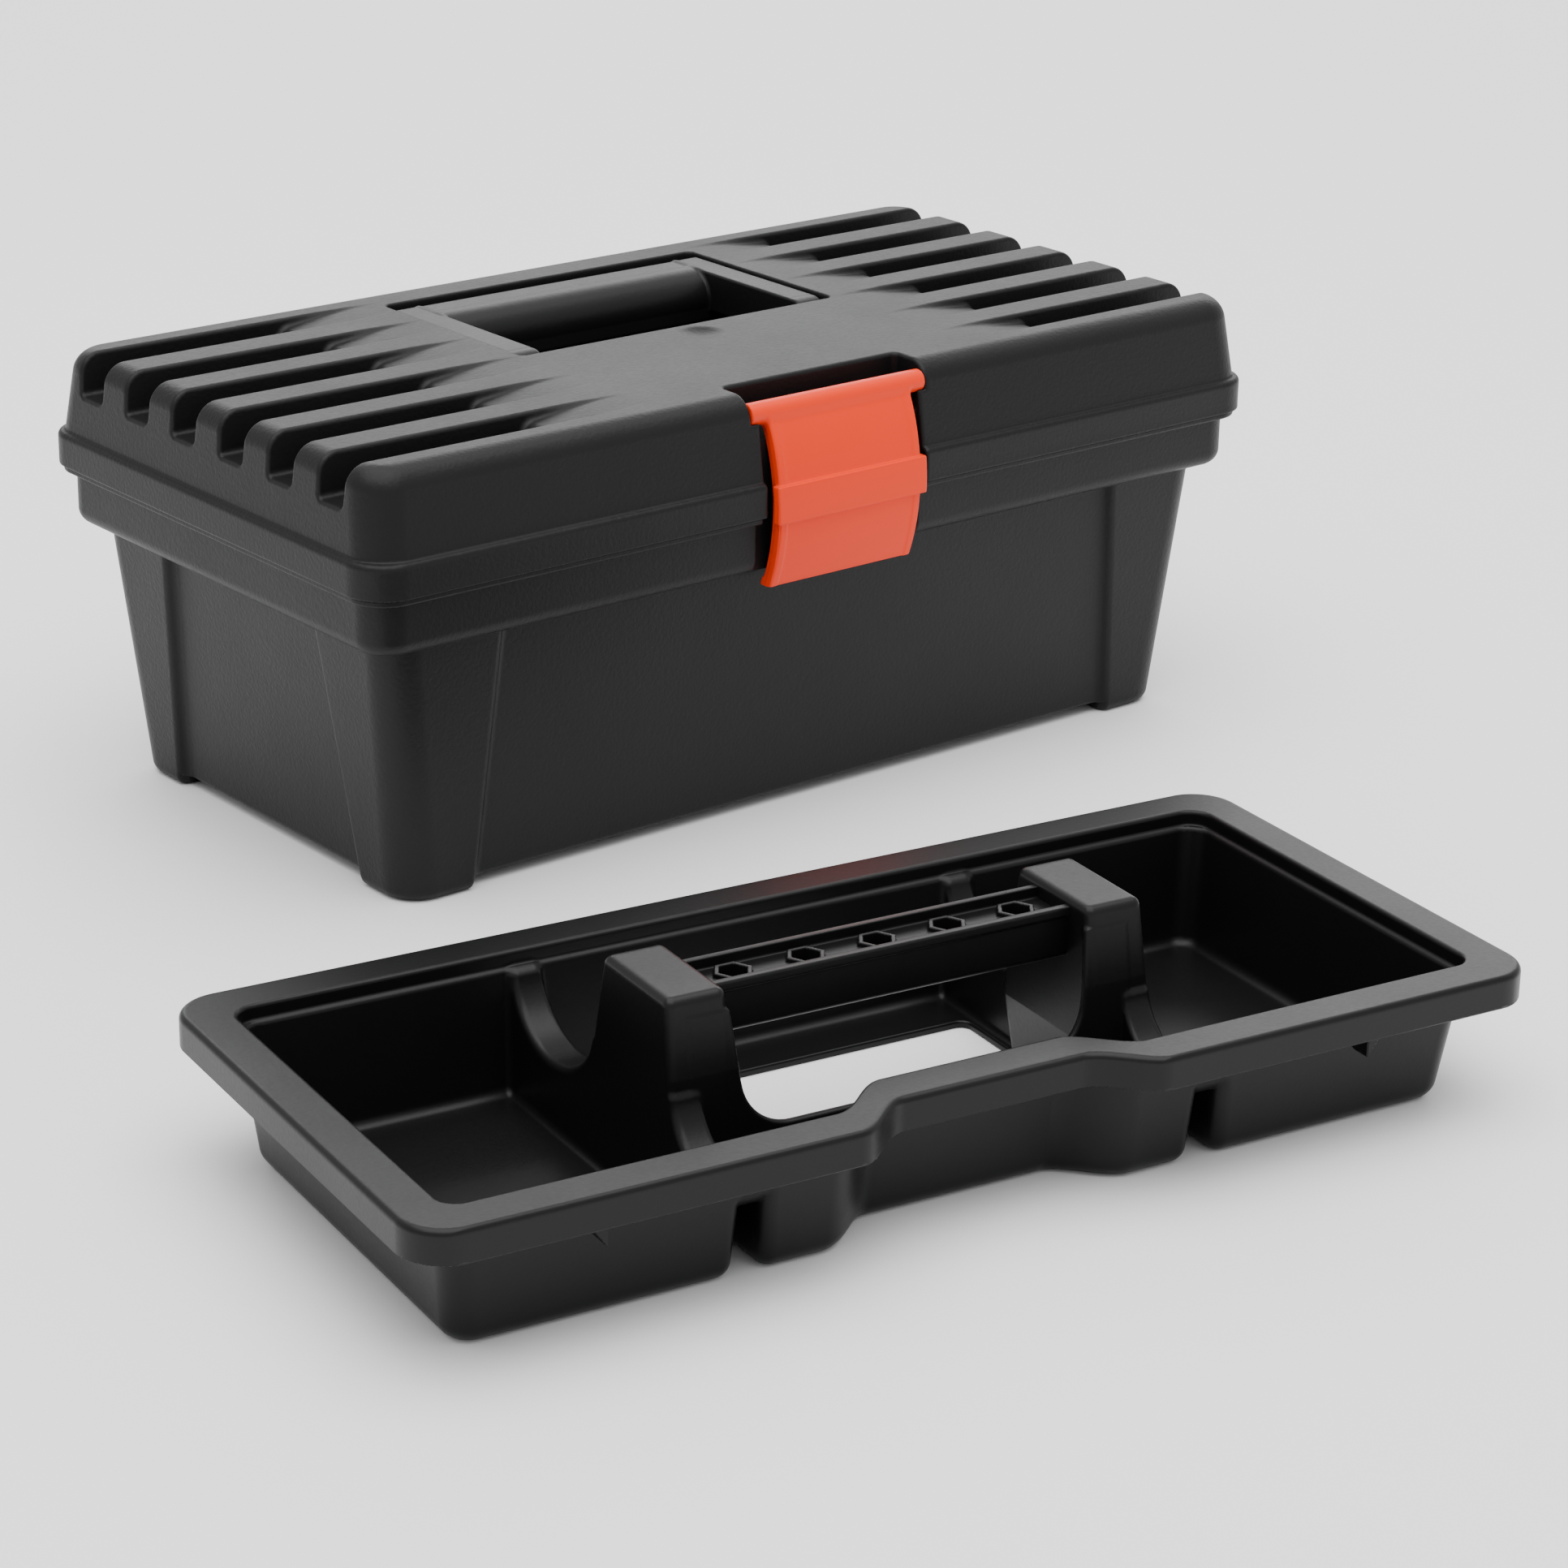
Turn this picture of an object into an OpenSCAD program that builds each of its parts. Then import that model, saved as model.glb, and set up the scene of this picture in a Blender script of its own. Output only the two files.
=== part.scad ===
// Plastic hand toolbox with a hinged lid, a front latch, a folding carrying handle and a
// lift-out tray. The box stands with its floor on z = 0 and its front towards -Y. The tray
// stands beside it on the same floor. All sizes are millimetres.

/* [Box] */
// Length over the lid's skirt
box_length = 320; // [316:1:324]
// Width over the lid's skirt
box_width = 166.4; // [164:0.4:170]
// Height of the closed box
box_height = 127.2; // [126.8:0.2:129]
// Height at which the lid meets the tub
parting_z = 93.5; // [93:0.1:94]
// Wall thickness of the mouldings
wall = 2.2; // [2:0.1:2.4]

/* [Tub] */
// Length of the feet over their outsides, at the floor
foot_length = 282; // [278:1:286]
// Width of the feet over their outsides, at the floor
foot_width = 137; // [135:1:139]
// Depth of the recessed side panels between the corner pads
panel_depth = 2.5; // [1.5:0.1:2.6]
// Height of the underside of the band round the tub's mouth
band_z = 76; // [75:0.5:76.5]

/* [Lid] */
// Number of raised ribs along each end of the lid
rib_count = 7; // [5:2:7]
// Distance between the middles of two ribs
rib_pitch = 24; // [23.5:0.1:24.2]
// Width of one groove between two ribs
groove_width = 12; // [10:0.5:13]
// Depth of the grooves
groove_depth = 12; // [10:0.5:12]

/* [Latch and handle] */
// Width of the latch plate
latch_width = 51; // [46:1:53]
// Radius of the latch's moulded pin
latch_pin_r = 3.2; // [3:0.1:3.2]
// Length of the handle's grip between its arms
grip_length = 94; // [90:1:96]
// Radius of the handle's moulded pegs
peg_r = 2.5; // [2.2:0.1:2.8]

/* [Tray] */
// Length of the tray over its rim
tray_length = 300; // [296:1:302]
// Width of the tray over its rim
tray_width = 138; // [136:1:140]
// Height of the tray's rim above the floor
tray_height = 37.5; // [36:0.5:38]
// Place of the tray's middle on the floor
tray_place = [-130, -245]; // [-400:1:400]
// Turn of the tray seen from above, in degrees
tray_turn = -9; // [-12:1:0]
// Number of bit sockets in the bit rail
socket_count = 5; // [1:1:5]
// Width across the flats of a bit socket
socket_flats = 6.5; // [6.4:0.1:6.8]

/* [Hidden] */
$fn = 48;
eps = 0.1;
BLACK = [0.13, 0.13, 0.135];
TRAY_BLACK = [0.11, 0.11, 0.115];
ORANGE = [0.93, 0.27, 0.09];
STEEL = [0.62, 0.63, 0.65];

// tub
half_l = box_length / 2;
half_w = box_width / 2;
skirt_r = 12;
base_z = 3;
pad_grow = [8, 5];
band_inset = 4;
flange_inset = 1.3;
flange_t = 2;
corner_r = 10;
foot_half = [foot_length / 2, foot_width / 2];
pad_half = foot_half + pad_grow;
base_pad_inset = 13;
pad_w_bottom = [24.5, 23.5];
pad_w_top = [39, 38];
catch_half = 29.3;
catch_y = half_w - 6.2;

// hinge
hinge_y = half_w + 4.8;
hinge_z = parting_z + 4.5;
hinge_x = 85;
knuckle_r = 4.5;
knuckle_half = 14.8;
hinge_half = 25;
hinge_pin_r = 1.75;
fit = 0.05;

// lid
skirt_h = 9.9;
skirt_z = parting_z + skirt_h;
lid_body_inset = 1.8;
lid_top_half = [half_l - 4, half_w - 5.7];
lid_edge_r = 6;
lid_corner_r = 10;
groove_tip_x = 65;
groove_knee_x = 90;
groove_knee_z = 9;
lid_low_top = box_height - groove_depth - wall;
lid_centre_half = groove_tip_x - 8;

// handle and its pocket
pocket_half = 57;
pocket_back = 62;
pocket_front = -6.6;
pocket_corner_r = 2;
pocket_mid = (pocket_back + pocket_front) / 2;
pocket_len = pocket_back - pocket_front;
pocket_floor = box_height - 18.7;
pocket_wall = 2.6;
peg_y = 0.5;
peg_z = box_height - 6.8;
arm_r = 6;
arm_half = pocket_half - 0.8;
arm_w = 9;
grip_y = 48;
grip_z = box_height - 9.3;
grip_r = 8.5;

// latch and its recess
latch_y = -(half_w - 7.7);
latch_z = box_height - 5.7;
latch_recess_half = 31.5;
latch_gap_half = 28.7;
latch_recess_y = half_w - 18.2;
latch_front_y = half_w - 5.7;
latch_ledge_z = box_height - 7.7;
latch_floor_z = box_height - 13.2;
latch_bow_r = 60;
latch_bow_z = 94;
latch_out_y = half_w + 1.2;
latch_t = 2.4;
latch_top_z = latch_z + 0.8;
latch_bottom_z = 72;
latch_band_z = [91.4, 102.3];
latch_band_out = 1.6;

// tray
rim_t = 2;
lip_h = 8.5;
tray_wall = 2;
rim_under = tray_height - rim_t;
tray_half = [tray_length / 2, tray_width / 2];
tray_corner_r = 12;
inside_corner_r = 4;
rim_w = 12.5;
well_out = tray_half[0] - rim_w + tray_wall;
well_side = tray_half[1] - rim_w + tray_wall;
well_in = 65;
centre_out = 59.5;
well_draft = 5;
notch_depth = 11;
notch_in = 24;
notch_out = 42;
post_in = 49;
post_out = well_in + tray_wall;
post_y = -5.5;
post_half_y = 18.7;
post_top = 55;
post_draft = [1, 3.3];
arch_low_z = 20.5;
arch_r = 13;
hole_half = 54;
hole_back = 37.5;
scoop_r = 19.5;
scoop_z = 37.5;
rail_half_y = 7.8;
rail_z = [39.5, 53];
rail_floor_z = 50;
channel_half_y = rail_half_y - 1.4;
socket_pitch = 19.5;
socket_wall = 1.2;
socket_depth = 8.5;

module rounded(l, w, r) {
    square([l - 2 * r, w], center = true);
    square([l, w - 2 * r], center = true);
    for (x = [-1, 1], y = [-1, 1])
        translate([x * (l / 2 - r), y * (w / 2 - r)]) circle(r);
}

module plate(half, r, z, h) {
    translate([0, 0, z]) linear_extrude(h) rounded(2 * half[0], 2 * half[1], r);
}

// a solid that runs along X, drawn as [y, z]
module along_x(x0, x1) {
    translate([x0, 0, 0]) rotate([90, 0, 90]) linear_extrude(x1 - x0) children();
}

// a solid that runs along Y, drawn as [x, z]
module along_y(y0, y1) {
    translate([0, y1, 0]) rotate([90, 0, 0]) linear_extrude(y1 - y0) children();
}

function arc(cx, cy, r, a0, a1, n = 12) =
    [for (i = [0:n]) [cx + r * cos(a0 + (a1 - a0) * i / n), cy + r * sin(a0 + (a1 - a0) * i / n)]];

// ---- tub ----

module drafted(half0, z0, half1, z1, r) {
    hull() {
        plate(half0, r, z0, 0.01);
        plate(half1, r, z1 - 0.01, 0.01);
    }
}

// the recess of one side panel, on the side that faces -Y
module panel_cut(foot, grow, pad_bottom, pad_top, half_run0, half_run1) {
    lean = atan(grow / band_z);
    translate([0, -(foot - panel_depth), 0]) rotate([90 + lean, 0, 0]) linear_extrude(10)
        polygon([[-(half_run0 - pad_bottom), -5], [half_run0 - pad_bottom, -5],
            [half_run1 - pad_top, band_z + 0.3], [-(half_run1 - pad_top), band_z + 0.3]]);
}

module tub_walls() {
    difference() {
        drafted(foot_half, base_z, pad_half, band_z, corner_r);
        for (a = [0, 180]) {
            rotate([0, 0, a]) panel_cut(foot_half[1], pad_grow[1], pad_w_bottom[0], pad_w_top[0],
                foot_half[0], pad_half[0]);
            rotate([0, 0, a + 90]) panel_cut(foot_half[0], pad_grow[0], pad_w_bottom[1], pad_w_top[1],
                foot_half[1], pad_half[1]);
        }
    }
}

module feet() {
    intersection() {
        plate(foot_half, corner_r, 0, base_z);
        for (x = [-1, 1], y = [-1, 1])
            translate([x * foot_half[0], y * foot_half[1], 0])
                cube([2 * pad_w_bottom[0], 2 * pad_w_bottom[1], 3 * base_z], center = true);
    }
    plate(foot_half - [base_pad_inset, base_pad_inset], corner_r, 0, base_z);
}

module tub_mouth() {
    band_half = [half_l - band_inset, half_w - band_inset];
    edge = 3;
    hull() {
        plate(band_half - [edge, edge], corner_r - edge, band_z, 0.01);
        plate(band_half, corner_r, band_z + edge, 0.01);
    }
    plate(band_half, corner_r, band_z + edge, parting_z - band_z - edge);
    plate([half_l - flange_inset, half_w - flange_inset], skirt_r - flange_inset,
        parting_z - flange_t, flange_t);
}

module tub_hollow() {
    inner = [panel_depth + wall, panel_depth + wall];
    band_inner = band_inset + wall;
    base_in = base_pad_inset + wall;
    plate(foot_half - [base_in, base_in], corner_r - wall, wall, base_z + wall);
    drafted(foot_half - inner, base_z + wall, pad_half - inner, band_z + wall + eps, corner_r - wall);
    plate([half_l - band_inner, half_w - band_inner], corner_r - wall, band_z + wall, 30);
}

module knuckle_bracket(x0, x1) {
    along_x(x0, x1) difference() {
        union() {
            translate([hinge_y, hinge_z]) circle(knuckle_r);
            polygon([[half_w - band_inset - 1, band_z + 6], [half_w, band_z + 6],
                [hinge_y + knuckle_r, hinge_z - 4], [hinge_y + knuckle_r, hinge_z],
                [half_w + 0.4, hinge_z], [half_w + 0.4, parting_z - 0.3],
                [half_w - band_inset - 1, parting_z - 0.3]]);
        }
        translate([hinge_y, hinge_z]) circle(hinge_pin_r + fit);
    }
}

module tub() color(BLACK) {
    difference() {
        union() {
            tub_walls();
            feet();
            tub_mouth();
        }
        tub_hollow();
        // the mouth band is cut back behind the latch
        translate([-catch_half, -half_w - 1, band_z - 2])
            cube([2 * catch_half, half_w + 1 - catch_y, parting_z - band_z + 3]);
    }
    translate([-catch_half - wall, -catch_y, band_z])
        cube([2 * (catch_half + wall), wall, parting_z - band_z]);
    for (s = [-1, 1]) {
        knuckle_bracket(s * hinge_x - hinge_half, s * hinge_x - knuckle_half - 0.2);
        knuckle_bracket(s * hinge_x + knuckle_half + 0.2, s * hinge_x + hinge_half);
    }
}

module hinge_pin(side) color(STEEL)
    translate([side * hinge_x - hinge_half, hinge_y, hinge_z]) rotate([0, 90, 0])
        cylinder(r = hinge_pin_r, h = 2 * hinge_half);

// ---- lid ----

module lid_outside() {
    low = [half_l - lid_body_inset, half_w - lid_body_inset];
    plate([half_l, half_w], skirt_r, parting_z, skirt_h);
    hull() {
        plate(low, skirt_r - lid_body_inset, skirt_z, 0.01);
        for (x = [-1, 1], y = [-1, 1])
            translate([x * (lid_top_half[0] - lid_corner_r), y * (lid_top_half[1] - lid_corner_r),
                box_height - lid_edge_r])
                rotate_extrude($fn = 32) intersection() {
                    translate([lid_corner_r - lid_edge_r, 0]) circle(lid_edge_r, $fn = 24);
                    translate([0, -lid_edge_r]) square([lid_corner_r, 2 * lid_edge_r]);
                }
    }
}

module lid_hollow() {
    low = [half_l - lid_body_inset - wall, half_w - lid_body_inset - wall];
    top = [lid_top_half[0] - wall, lid_top_half[1] - wall];
    drafted(low, parting_z - eps, top, lid_low_top, skirt_r - lid_body_inset - wall);
    translate([-lid_centre_half, -top[1] + wall, lid_low_top - eps])
        cube([2 * lid_centre_half, 2 * (top[1] - wall), box_height - wall - lid_low_top + eps]);
    rib_hollow = rib_pitch - groove_width - 2 * wall;
    for (s = [-1, 1], i = [1:rib_count - 2])
        translate([s * (lid_centre_half + top[0]) / 2, (i - (rib_count - 1) / 2) * rib_pitch, lid_low_top])
            translate([-(top[0] - lid_centre_half - lid_edge_r) / 2 - 1, -rib_hollow / 2, -eps])
                cube([top[0] - lid_centre_half - lid_edge_r, rib_hollow, groove_depth - 2 + eps]);
}

module groove(side, y) {
    z0 = box_height - groove_depth;
    far = half_l + 1;
    along_y(y - groove_width / 2, y + groove_width / 2)
        polygon([[side * far, z0], [side * (groove_knee_x + 5), z0],
            [side * (groove_knee_x + 2), z0 + 1.2], [side * groove_knee_x, z0 + groove_knee_z],
            [side * groove_tip_x, box_height], [side * groove_tip_x, box_height + 1],
            [side * far, box_height + 1]]);
}

module handle_pocket_shell() {
    translate([0, pocket_mid, pocket_floor - wall])
        linear_extrude(box_height - pocket_floor + wall - 0.5)
            rounded(2 * (pocket_half + pocket_wall), pocket_len + 2 * wall, pocket_corner_r + 1);
}

module latch_recess_shell() {
    side = latch_recess_half + wall;
    translate([-side, -half_w, latch_floor_z - wall])
        cube([2 * side, half_w - latch_recess_y + wall, box_height - latch_floor_z]);
    translate([-side, -half_w, parting_z]) cube([2 * side, half_w - latch_front_y + wall, skirt_h + wall]);
}

module latch_recess() {
    high = 40;
    translate([-latch_recess_half, -half_w - 1, latch_ledge_z])
        cube([2 * latch_recess_half, half_w + 1 - latch_recess_y, high]);
    translate([-latch_gap_half, -half_w - 1, latch_floor_z])
        cube([2 * latch_gap_half, half_w + 1 - latch_recess_y, high]);
    translate([-latch_gap_half, -half_w - 1, parting_z - 1])
        cube([2 * latch_gap_half, half_w + 1 - latch_front_y, high]);
    translate([-latch_recess_half, latch_y, latch_z]) rotate([0, 90, 0])
        cylinder(r = latch_pin_r + 3 * fit, h = 2 * latch_recess_half);
}

module lid_knuckle(side) {
    along_x(side * hinge_x - knuckle_half, side * hinge_x + knuckle_half) difference() {
        union() {
            translate([hinge_y, hinge_z]) circle(knuckle_r);
            translate([half_w - 1, parting_z + 1.5]) square([hinge_y - half_w + 1, skirt_h - 2.5]);
        }
        translate([hinge_y, hinge_z]) circle(hinge_pin_r + fit);
    }
}

module lid() color(BLACK) {
    difference() {
        union() {
            difference() {
                lid_outside();
                lid_hollow();
            }
            handle_pocket_shell();
            intersection() {
                lid_outside();
                latch_recess_shell();
            }
        }
        for (side = [-1, 1], i = [0:rib_count - 2])
            groove(side, (i - (rib_count - 2) / 2) * rib_pitch);
        translate([0, pocket_mid, pocket_floor])
            linear_extrude(30) rounded(2 * pocket_half, pocket_len, pocket_corner_r);
        for (side = [-1, 1])
            translate([side * (pocket_half + pocket_wall / 2), peg_y, peg_z]) rotate([0, 90, 0])
                cylinder(r = peg_r + fit, h = pocket_wall + 2, center = true);
        latch_recess();
    }
    for (side = [-1, 1]) lid_knuckle(side);
}

// ---- latch ----

function bow_y(z, r) = -(latch_out_y - latch_bow_r) - sqrt(r * r - pow(z - latch_bow_z, 2));

module bow(r_out, r_in, z0, z1, n) {
    step = (z1 - z0) / n;
    polygon(concat([for (i = [0:n]) [bow_y(z0 + i * step, r_out), z0 + i * step]],
        [for (i = [n:-1:0]) [bow_y(z0 + i * step, r_in), z0 + i * step]]));
}

module latch() color(ORANGE) {
    half = latch_width / 2;
    lip_y = bow_y(latch_bottom_z, latch_bow_r);
    along_x(-half, half) {
        bow(latch_bow_r, latch_bow_r - latch_t, latch_bottom_z, latch_top_z, 16);
        translate([lip_y + latch_t - 1, latch_bottom_z + 0.3]) square([2.4, 2]);
    }
    along_x(-half - 1.5, half + 1.5)
        bow(latch_bow_r + latch_band_out, latch_bow_r - 0.5, latch_band_z[0], latch_band_z[1], 4);
    translate([-latch_recess_half + 0.3, latch_y, latch_z]) rotate([0, 90, 0])
        cylinder(r = latch_pin_r, h = 2 * latch_recess_half - 0.6);
}

// ---- handle ----

module handle_arm(side) {
    x0 = side > 0 ? arm_half - arm_w : -arm_half;
    along_x(x0, x0 + arm_w) {
        translate([peg_y, peg_z]) circle(arm_r);
        translate([peg_y, peg_z - arm_r]) square([pocket_back - 3 - peg_y, 2 * arm_r]);
    }
    translate([side * arm_half, peg_y, peg_z]) rotate([0, side * 90, 0])
        cylinder(r = peg_r, h = pocket_wall + 0.6);
}

module handle() color(BLACK) {
    for (side = [-1, 1]) handle_arm(side);
    along_x(-grip_length / 2 - 1, grip_length / 2 + 1) {
        translate([grip_y, grip_z]) circle(grip_r);
        translate([grip_y - grip_r, grip_z - 5]) square([2 * grip_r, 5]);
        translate([grip_y, grip_z - 5]) square([pocket_back - 3 - grip_y, grip_r + 5]);
    }
}

// ---- tray, drawn about its own middle ----

module put_tray() {
    translate([tray_place[0], tray_place[1], 0]) rotate([0, 0, tray_turn]) children();
}

// the front edge steps back in the middle, and d moves the whole outline inwards
module rim_outline(d) {
    steps = 10;
    front = -tray_half[1] + d;
    back_step = front + notch_depth;
    run = [for (i = [0:steps]) i / steps];
    difference() {
        rounded(tray_length - 2 * d, tray_width - 2 * d, max(tray_corner_r - d, inside_corner_r));
        polygon(concat(
            [for (t = run) [-(notch_out + d) + (notch_out - notch_in) * t,
                front - eps + (notch_depth + eps) * t * t * (3 - 2 * t)]],
            [for (t = run) [notch_in + d + (notch_out - notch_in) * t,
                back_step - (notch_depth + eps) * t * t * (3 - 2 * t)]],
            [[notch_out + d, front - 5], [-(notch_out + d), front - 5]]));
    }
}

module tray_rim() color(TRAY_BLACK) put_tray() {
    difference() {
        translate([0, 0, tray_height - lip_h]) linear_extrude(lip_h) rim_outline(0);
        translate([0, 0, tray_height - lip_h - eps]) linear_extrude(lip_h - rim_t + eps) rim_outline(rim_t);
        translate([0, 0, rim_under - eps]) linear_extrude(rim_t + 1) rim_outline(rim_w);
    }
}

module well(side) {
    span = well_out - well_in;
    mid = side * (well_out + well_in) / 2;
    difference() {
        hull() {
            translate([mid, 0, rim_under - 0.01]) linear_extrude(0.01) rounded(span, 2 * well_side, 5);
            translate([mid - side * well_draft / 2, 0, 0]) linear_extrude(0.01)
                rounded(span - well_draft, 2 * (well_side - well_draft), 5);
        }
        hull() {
            translate([mid, 0, rim_under]) linear_extrude(0.01)
                rounded(span - 2 * tray_wall, 2 * (well_side - tray_wall), 4);
            translate([mid - side * well_draft / 2, 0, tray_wall]) linear_extrude(0.01)
                rounded(span - well_draft - 2 * tray_wall, 2 * (well_side - well_draft - tray_wall), 4);
        }
        scoops(side * well_in, 2 * tray_wall + 1);
    }
}

// round cut-outs through the top of a divider, before and behind its post
module scoops(x, width) {
    for (y = [-1, 1])
        translate([x, post_y + y * (post_half_y + scoop_r), scoop_z]) rotate([0, 90, 0])
            cylinder(r = scoop_r, h = width, center = true);
}

module tray_left_well() color(TRAY_BLACK) put_tray() well(-1);
module tray_right_well() color(TRAY_BLACK) put_tray() well(1);

module centre_outline(d) {
    intersection() {
        rim_outline(rim_w - tray_wall + d);
        square([2 * (centre_out - d), tray_width], center = true);
    }
}

// a block of the tray's centre between two places along Y
module centre_band(y0, y1, half, z0, z1) {
    translate([-half, y0, z0]) cube([2 * half, y1 - y0, z1 - z0]);
}

module tray_centre() color(TRAY_BLACK) put_tray() {
    inner = centre_out - tray_wall;
    arch_front = post_y - post_half_y;
    arch_back = arch_front + tray_wall;
    post_back = post_y + post_half_y;
    difference() {
        linear_extrude(rim_under) centre_outline(0);
        translate([0, 0, tray_wall]) linear_extrude(rim_under) intersection() {
            centre_outline(tray_wall);
            union() {
                translate([-inner, -tray_width]) square([2 * inner, tray_width + arch_front]);
                translate([-inner, arch_back]) square([2 * inner, tray_width]);
            }
        }
        // the hole under the bit rail goes right through
        centre_band(arch_back, post_back, inner, -1, tray_wall + 1);
        centre_band(post_back - eps, hole_back, hole_half, -1, tray_wall + 1);
        // the wall before the hole dips between the posts
        along_y(arch_front - 1, arch_back + 1) polygon(concat(
            arc(-post_in + arch_r, arch_low_z + arch_r, arch_r, 180, 270),
            arc(post_in - arch_r, arch_low_z + arch_r, arch_r, 270, 360),
            [[post_in, rim_under + 1], [-post_in, rim_under + 1]]));
        scoops(-centre_out, 2 * tray_wall + 1);
        scoops(centre_out, 2 * tray_wall + 1);
    }
}

module post(side) {
    mid = side * (post_in + post_out) / 2;
    half = [(post_out - post_in) / 2, post_half_y];
    well_top = [half[0] - tray_wall, half[1] - tray_wall];
    translate([mid, post_y, 0]) difference() {
        hull() {
            plate(half, 2, rim_under, 0.01);
            translate([-side * post_draft[0], 0, 0]) plate(half - post_draft, 2, post_top - 0.01, 0.01);
        }
        hull() {
            plate(well_top, 1, rim_under - eps, 0.01);
            translate([-side * post_draft[0], 0, 0])
                plate(well_top - post_draft, 1, post_top - tray_wall, 0.01);
        }
    }
    // the part over the hole stands on a wall of its own
    leg_out = centre_out - tray_wall;
    leg = [leg_out - post_in, 2 * post_half_y - tray_wall];
    translate([side * (post_in + leg_out) / 2, post_y + tray_wall / 2, 0]) linear_extrude(rim_under)
        difference() {
            square(leg, center = true);
            translate([side * tray_wall, -tray_wall]) square(leg, center = true);
        }
    // the divider's saddle-shaped top runs from the post to the rim through the scoops
    for (y = [-1, 1])
        along_x(side > 0 ? centre_out : -well_in, side > 0 ? well_in : -centre_out) intersection() {
            translate([post_y + y * (post_half_y + scoop_r), scoop_z]) difference() {
                circle(scoop_r + tray_wall);
                circle(scoop_r);
            }
            translate([y > 0 ? post_y + post_half_y - tray_wall : -well_side + tray_wall, 0])
                square([well_side - tray_wall - y * post_y - post_half_y + tray_wall, rim_under]);
        }
}

module tray_posts() color(TRAY_BLACK) put_tray() {
    post(-1);
    post(1);
}

module tray_bit_rail() color(TRAY_BLACK) put_tray() translate([0, post_y, 0]) {
    first = -(socket_count - 1) / 2;
    difference() {
        union() {
            along_x(-post_in, post_in) difference() {
                translate([-rail_half_y, rail_z[0]]) square([2 * rail_half_y, rail_z[1] - rail_z[0]]);
                translate([-channel_half_y, rail_floor_z - 1]) square([2 * channel_half_y, 20]);
            }
            for (i = [0:socket_count - 1]) translate([(first + i) * socket_pitch, 0, rail_z[0]])
                cylinder(d = (socket_flats + 2 * socket_wall) / cos(30), $fn = 6,
                    h = rail_floor_z + 0.6 - rail_z[0]);
        }
        for (i = [0:socket_count - 1])
            translate([(first + i) * socket_pitch, 0, rail_floor_z + 0.7 - socket_depth])
                cylinder(d = socket_flats / cos(30), h = 20, $fn = 6);
    }
}

tub();
lid();
latch();
handle();
hinge_pin(-1);  // hinge_pin_left
hinge_pin(1);  // hinge_pin_right
tray_rim();
tray_left_well();
tray_right_well();
tray_centre();
tray_posts();
tray_bit_rail();
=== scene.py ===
"""A moulded toolbox with its lift-out tray beside it. The mouldings are drawn as smooth solids in
millimetres, with every edge rounded and every wall at its own thickness, and meshed here."""

import math

import bpy
import numpy as np
from mathutils import Matrix, Vector


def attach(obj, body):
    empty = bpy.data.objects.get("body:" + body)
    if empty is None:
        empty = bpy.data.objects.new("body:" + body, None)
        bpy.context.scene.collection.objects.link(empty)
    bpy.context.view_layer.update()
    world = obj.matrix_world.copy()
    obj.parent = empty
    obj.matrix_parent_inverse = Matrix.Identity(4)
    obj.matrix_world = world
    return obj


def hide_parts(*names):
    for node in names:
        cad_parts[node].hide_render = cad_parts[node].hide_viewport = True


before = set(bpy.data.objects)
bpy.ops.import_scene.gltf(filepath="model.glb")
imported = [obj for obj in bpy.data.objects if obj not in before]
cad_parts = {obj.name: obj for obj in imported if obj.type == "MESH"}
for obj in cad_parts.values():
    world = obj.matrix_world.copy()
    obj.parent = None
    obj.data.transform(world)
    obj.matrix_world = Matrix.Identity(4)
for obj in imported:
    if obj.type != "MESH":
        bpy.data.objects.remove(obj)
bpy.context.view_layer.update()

MM = 0.001

# ---------------------------------------------------------------- solids

# A solid is a function of x, y and z that is negative inside and about the distance outside.


def hypot(a, b):
    return np.sqrt(a * a + b * b)


def cut(a, b, r):
    """What a and b share, with the edge where they meet rounded to r."""
    return np.minimum(np.maximum(a, b), -r) + hypot(np.maximum(a + r, 0), np.maximum(b + r, 0))


def join(a, b, r):
    """a and b together, with the corner where they meet filled to r."""
    return np.maximum(np.minimum(a, b), r) - hypot(np.maximum(r - a, 0), np.maximum(r - b, 0))


def remove(a, b, r):
    """a without b, with the new edge rounded to r."""
    return cut(a, -b, r)


def rect(x, y, hx, hy, r):
    """An upright block of half sizes hx and hy, with its four upright edges rounded to r."""
    qx = np.abs(x) - hx + r
    qy = np.abs(y) - hy + r
    return hypot(np.maximum(qx, 0), np.maximum(qy, 0)) + np.minimum(np.maximum(qx, qy), 0) - r


def shell(solid, wall):
    """What lies between a solid's surface and that depth below it."""
    return np.maximum(solid, -(solid + wall))


def smooth_step(t):
    """Goes from 0 to 1 with level ends as t does."""
    t = np.clip(t, 0, 1)
    return t * t * (3 - 2 * t)


# sizes shared with the CAD; the two numbers of a pair are half sizes along X and Y
WALL = 2.2
EDGE = 0.5  # rounding of cut wall edges
HALF_L, HALF_W = 160.0, 83.2
BOX_H = 127.2
PARTING = 93.5  # where the lid meets the tub
SKIRT_TOP = 103.4
SKIRT_R = 12.0
HINGE_Y, HINGE_Z, HINGE_X = HALF_W + 4.8, PARTING + 4.5, 85.0
KNUCKLE_R = 4.5
PIN_HOLE_R = 1.85
LATCH_Y, LATCH_Z, LATCH_R = -75.5, 121.5, 3.2
PEG_Y, PEG_Z, PEG_R = 0.5, 120.4, 2.5

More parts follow.
